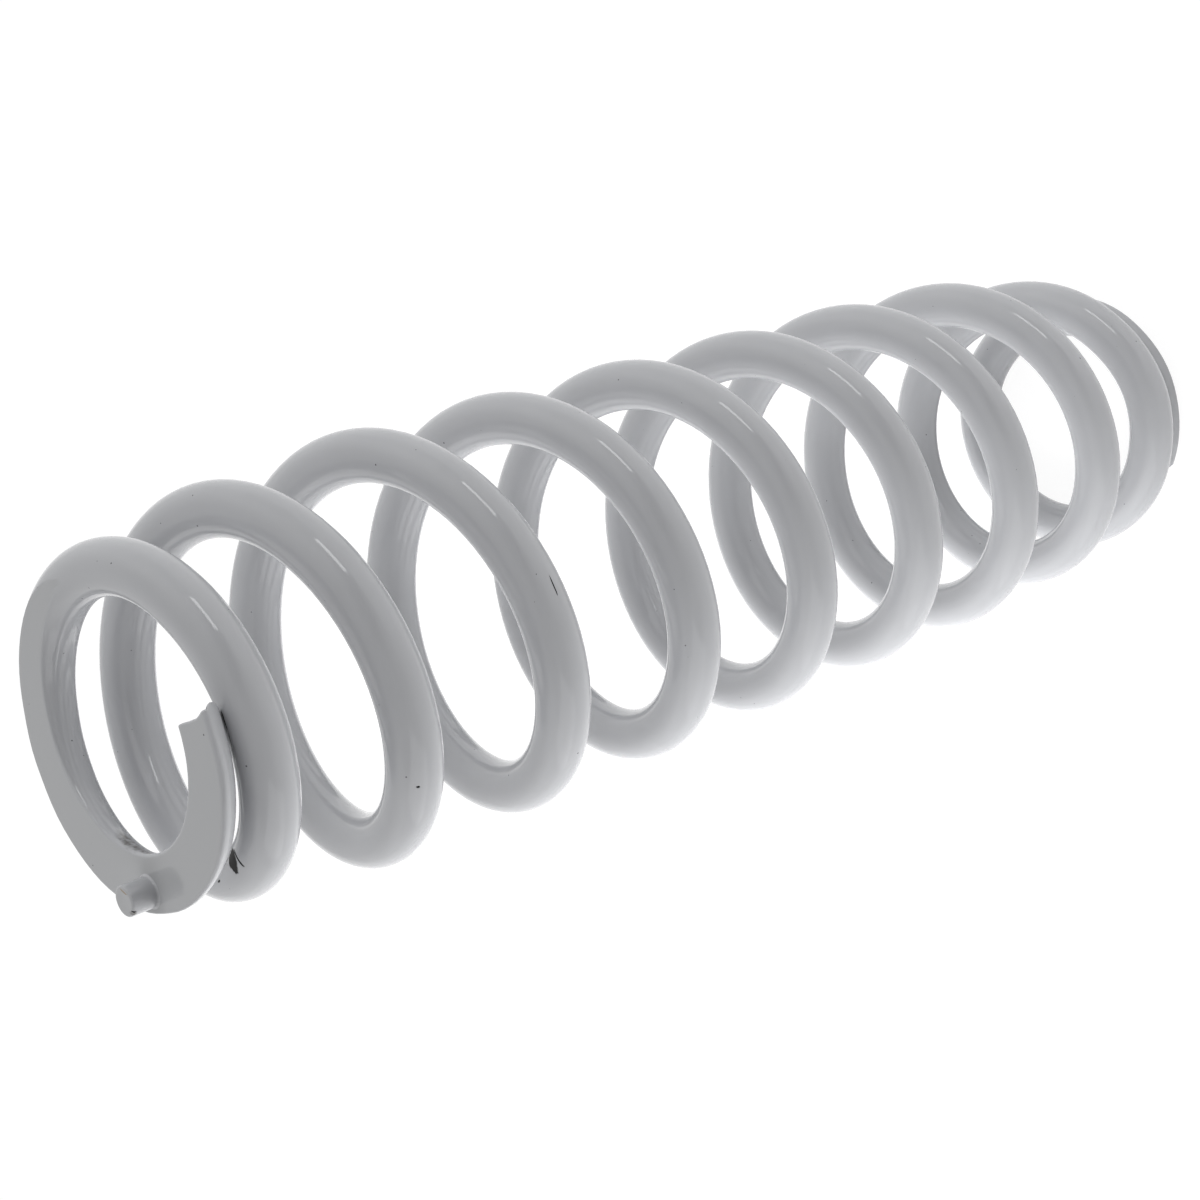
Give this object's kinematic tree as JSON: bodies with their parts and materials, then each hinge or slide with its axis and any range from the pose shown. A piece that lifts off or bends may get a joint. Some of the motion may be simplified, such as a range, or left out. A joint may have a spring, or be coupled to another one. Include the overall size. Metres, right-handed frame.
{
  "type": "compression spring",
  "caption": "White powder-coated round-wire compression spring, right-hand wound, with closed ground end coils of smaller diameter and a short locating pin on one ground face.",
  "frame": {"origin": "on the spring's axis in the plane of the lower ground face, the one without the pin", "axes": "+Z along the spring's axis to the end with the pin; +X from the axis towards the wire's tip at that end"},
  "size_m": [0.0624, 0.0624, 0.2234],
  "materials": {
    "coil_coat": "glossy white powder coat over spring steel",
    "pin_coat": "glossy white powder coat over steel, worn at the end face"
  },
  "bodies": {
    "root": {"coil_spring": "coil_coat", "locating_pin": "pin_coat"}
  },
  "joints": []
}
